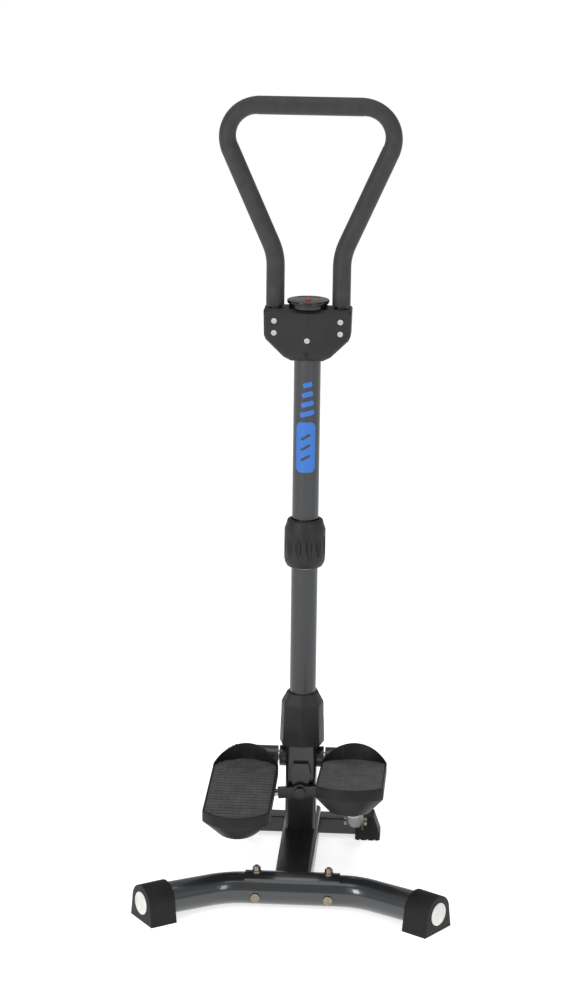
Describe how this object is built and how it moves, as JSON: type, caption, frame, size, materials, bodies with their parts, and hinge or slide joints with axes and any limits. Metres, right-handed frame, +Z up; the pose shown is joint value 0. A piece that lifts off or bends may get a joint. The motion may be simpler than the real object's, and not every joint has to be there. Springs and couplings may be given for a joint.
{
  "type": "mini stepper with handlebar",
  "caption": "Hydraulic mini stepper: two linked pedals on a floor frame, with a height-adjustable column, foam handlebar and small counter.",
  "frame": {"origin": "on the floor, under the middle of the footprint", "axes": "+X to the user's right, +Y the way the user faces, +Z up"},
  "size_m": [0.496, 0.4332, 1.2531],
  "materials": {
    "graphite_paint": "satin graphite powder coat on steel tube",
    "black_paint": "gloss black powder coat on steel",
    "zinc_plate": "yellow passivated zinc plate",
    "bright_steel": "bright steel",
    "chrome_plate": "polished chrome plate",
    "black_plastic": "fine textured moulded plastic, charcoal",
    "tread_plastic": "grey moulded tread with small recesses",
    "cap_plastic": "black moulded end cap",
    "disc_plastic": "off-white plastic disc",
    "foot_rubber": "charcoal rubber foot",
    "grip_foam": "closed-cell foam grip, charcoal",
    "nylon": "natural nylon",
    "label_blue": "blue printed film",
    "gloss_black": "gloss black moulded plastic",
    "window_plastic": "dark glossy window",
    "button_red": "red moulded button",
    "board_green": "circuit board",
    "damper_grey": "grey painted cylinder"
  },
  "bodies": {
    "root": {"rear_base_tube": "graphite_paint", "rear_cap_left": "cap_plastic", "rear_cap_right": "cap_plastic", "cap_discs": "disc_plastic", "saddle_plate": "black_paint", "carriage_bolts": "zinc_plate", "dome_nuts": "zinc_plate", "saddle_washers": "zinc_plate", "spine_tube": "black_paint", "post_tube": "black_paint", "axle_housing": "black_paint", "rocker_bracket": "black_paint", "front_cross_tube": "black_paint", "front_foot_left": "foot_rubber", "front_foot_right": "foot_rubber", "pivot_axle": "bright_steel", "axle_nuts": "zinc_plate", "damper_brackets": "black_paint", "damper_lower_pins": "zinc_plate", "rocker_bolt": "black_paint", "post_sleeve": "black_plastic", "post_screws": "zinc_plate", "lower_tube": "graphite_paint", "guide_bush": "nylon"},
    "collar": {"twist_collar": "black_plastic"},
    "column": {"inner_tube": "bright_steel", "upper_tube": "graphite_paint", "tube_label": "label_blue", "bracket_front": "black_plastic", "bracket_rear": "black_plastic", "bracket_screws": "bright_steel", "bracket_plug": "black_plastic", "handlebar_tube": "graphite_paint", "foam_grip": "grip_foam", "console_body": "gloss_black", "console_window": "window_plastic", "console_board": "board_green", "button_cell": "bright_steel"},
    "counter_button": {"console_button": "button_red"},
    "rocker": {"rocker_beam": "black_paint", "rocker_rollers": "bright_steel"},
    "left_pedal": {"left_pedal_tray": "black_plastic", "left_pedal_tread": "tread_plastic", "left_pedal_arm": "black_paint", "left_pedal_bushes": "nylon", "left_pedal_screws": "zinc_plate", "left_damper_pin": "bright_steel"},
    "left_damper": {"left_damper_body": "damper_grey", "left_damper_collar": "chrome_plate"},
    "left_rod": {"left_damper_rod": "chrome_plate"},
    "right_pedal": {"right_pedal_tray": "black_plastic", "right_pedal_tread": "tread_plastic", "right_pedal_arm": "black_paint", "right_pedal_bushes": "nylon", "right_pedal_screws": "zinc_plate", "right_damper_pin": "bright_steel"},
    "right_damper": {"right_damper_body": "damper_grey", "right_damper_collar": "chrome_plate"},
    "right_rod": {"right_damper_rod": "chrome_plate"}
  },
  "joints": [
    {"name": "left_pedal_pivot", "type": "hinge", "parent": "root", "child": "left_pedal", "pos_m": [-0.088, 0.09359, 0.176], "axis": [1, 0, 0], "range_deg": [-14.5, 3.5]},
    {"name": "left_damper_swing", "type": "hinge", "parent": "root", "child": "left_damper", "pos_m": [-0.088, 0.15559, 0.04], "axis": [1, 0, 0], "range_deg": [-5.45, 1.33]},
    {"name": "left_rod_slide", "type": "slide", "parent": "left_damper", "child": "left_rod", "axis": [0, -0.884, 0.4674], "range_m": [-0.00537, 0.02207]},
    {"name": "right_pedal_pivot", "type": "hinge", "parent": "root", "child": "right_pedal", "pos_m": [0.088, 0.09359, 0.176], "axis": [1, 0, 0], "range_deg": [-3.5, 14.5]},
    {"name": "right_damper_swing", "type": "hinge", "parent": "root", "child": "right_damper", "pos_m": [0.088, 0.15559, 0.04], "axis": [1, 0, 0], "range_deg": [-1.33, 5.45]},
    {"name": "right_rod_slide", "type": "slide", "parent": "right_damper", "child": "right_rod", "axis": [0, -0.8482, 0.5298], "range_m": [-0.02203, 0.00536]},
    {"name": "rocker_tilt", "type": "hinge", "parent": "root", "child": "rocker", "pos_m": [0, 0.05659, 0.128], "axis": [0, 1, 0], "range_deg": [-3.17, 12.98]},
    {"name": "collar_turn", "type": "hinge", "parent": "root", "child": "collar", "pos_m": [0, 0.09359, 0.54], "axis": [0, 0, 1], "range_deg": [0, 90]},
    {"name": "column_height", "type": "slide", "parent": "root", "child": "column", "axis": [0, 0, 1], "range_m": [0, 0.1]},
    {"name": "button_press", "type": "slide", "parent": "column", "child": "counter_button", "axis": [0, 0, -1], "range_m": [0, 0.0015], "stiffness_N_per_m": 400}
  ],
  "couplings": [
    {"joint": "left_damper_swing", "follows": "left_pedal_pivot", "ratio": 0.37441},
    {"joint": "left_rod_slide", "follows": "left_pedal_pivot", "m_per_rad": -0.087013},
    {"joint": "right_pedal_pivot", "follows": "left_pedal_pivot", "ratio": -1},
    {"joint": "right_damper_swing", "follows": "left_pedal_pivot", "ratio": -0.37475},
    {"joint": "right_rod_slide", "follows": "left_pedal_pivot", "m_per_rad": 0.086871},
    {"joint": "rocker_tilt", "follows": "left_pedal_pivot", "ratio": -0.89157}
  ]
}
